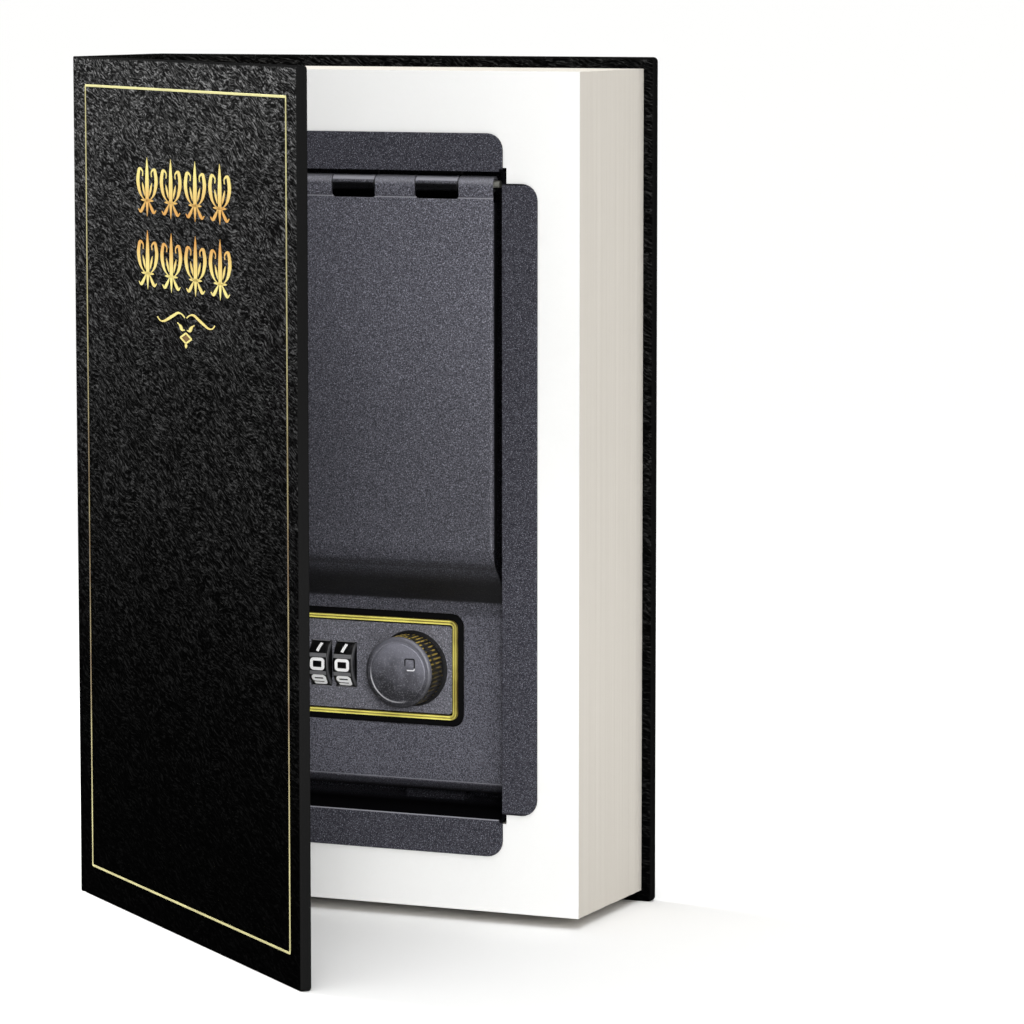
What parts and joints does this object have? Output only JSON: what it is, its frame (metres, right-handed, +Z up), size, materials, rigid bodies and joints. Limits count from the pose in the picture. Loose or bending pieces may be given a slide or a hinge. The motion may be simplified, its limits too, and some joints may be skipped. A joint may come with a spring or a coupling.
{
  "type": "book diversion safe",
  "caption": "Hardcover book standing ajar, its cut-out pages holding a steel box with a top-hinged lid, combination dials and a turning knob.",
  "frame": {"origin": "middle of the back cover's lower edge, on the surface that the book stands on", "axes": "+Z up along the spine, +X from the spine to the fore-edge, +Y from the front cover to the back cover"},
  "size_m": [0.1576, 0.1534, 0.24],
  "materials": {
    "leatherette": "black grained leatherette, satin",
    "board": "grey pulp board",
    "pages": "cream paper, matte",
    "flyleaf": "white paper, matte",
    "endpaper": "black paper, matte",
    "powder_coat": "charcoal textured powder coat with fine sparkle",
    "black_plastic": "black moulded",
    "dial": "black moulded, white digits",
    "gold_trim": "polished gold",
    "knob": "satin charcoal",
    "knob_grip": "dark knurled, gold sheen",
    "brass": "machined brass",
    "steel": "zinc plated"
  },
  "bodies": {
    "book": {"back_cover_wrap": "leatherette", "back_cover_board": "board", "back_endpaper": "pages", "spine_wrap": "leatherette", "spine_board": "board", "spine_lining": "pages", "cut_pages": "pages", "whole_pages": "pages", "flyleaf": "flyleaf", "safe_tray": "powder_coat", "hinge_pin": "steel", "strike_bracket": "powder_coat", "strike_rivet_1": "steel", "strike_rivet_2": "steel"},
    "cover_joint": {"cover_fold": "leatherette"},
    "front_cover": {"front_cover_wrap": "leatherette", "front_cover_board": "board", "front_endpaper": "endpaper"},
    "lid": {"lid_plate": "powder_coat", "lock_housing": "black_plastic", "lock_trim": "gold_trim", "lock_bezel": "powder_coat", "lock_back_plate": "steel", "lock_screw_1": "steel", "lock_screw_2": "steel", "lock_screw_3": "steel", "lock_screw_4": "steel", "stud_nut_1": "steel", "stud_nut_2": "steel", "dial_axle": "steel", "detent_leaf": "steel", "knob_collar": "black_plastic"},
    "dial_a": {"dial_1": "dial", "code_sleeve_1": "brass"},
    "dial_b": {"dial_2": "dial", "code_sleeve_2": "brass"},
    "dial_c": {"dial_3": "dial", "code_sleeve_3": "brass"},
    "knob": {"knob_cap": "knob", "knob_grip": "knob_grip", "knob_shaft": "steel", "cam_tongue": "steel", "cam_nut": "steel"},
    "gate": {"gate_bar": "steel"},
    "reset": {"reset_lever": "black_plastic"}
  },
  "joints": [
    {"name": "cover_give", "type": "hinge", "parent": "book", "child": "cover_joint", "pos_m": [-0.0773, -0.0504, 0.12], "axis": [0, 0, 1], "range_deg": [-115, 0]},
    {"name": "cover_swing", "type": "hinge", "parent": "cover_joint", "child": "front_cover", "pos_m": [-0.0773, -0.0504, 0.12], "axis": [0, 0, 1], "range_deg": [-140, 40]},
    {"name": "lid_hinge", "type": "hinge", "parent": "book", "child": "lid", "pos_m": [0.00255, -0.0459, 0.2058], "axis": [-1, 0, 0], "range_deg": [0, 95]},
    {"name": "knob_turn", "type": "hinge", "parent": "lid", "child": "knob", "pos_m": [0.02055, -0.0379, 0.0688], "axis": [0, -1, 0], "range_deg": [0, 90]},
    {"name": "dial_a_turn", "type": "hinge", "parent": "lid", "child": "dial_a", "pos_m": [-0.01565, -0.03252, 0.0688], "axis": [1, 0, 0], "continuous": true},
    {"name": "dial_b_turn", "type": "hinge", "parent": "lid", "child": "dial_b", "pos_m": [-0.0079, -0.03252, 0.0688], "axis": [1, 0, 0], "continuous": true},
    {"name": "dial_c_turn", "type": "hinge", "parent": "lid", "child": "dial_c", "pos_m": [-0.00015, -0.03252, 0.0688], "axis": [1, 0, 0], "continuous": true},
    {"name": "gate_slide", "type": "slide", "parent": "lid", "child": "gate", "axis": [0, 0, -1], "range_m": [0, 0.0012]},
    {"name": "reset_slide", "type": "slide", "parent": "lid", "child": "reset", "axis": [0, 0, 1], "range_m": [0, 0.006]}
  ],
  "couplings": [
    {"joint": "cover_give", "follows": "lid_hinge", "ratio": -1.2},
    {"joint": "gate_slide", "follows": "knob_turn", "m_per_rad": 0.00076}
  ]
}
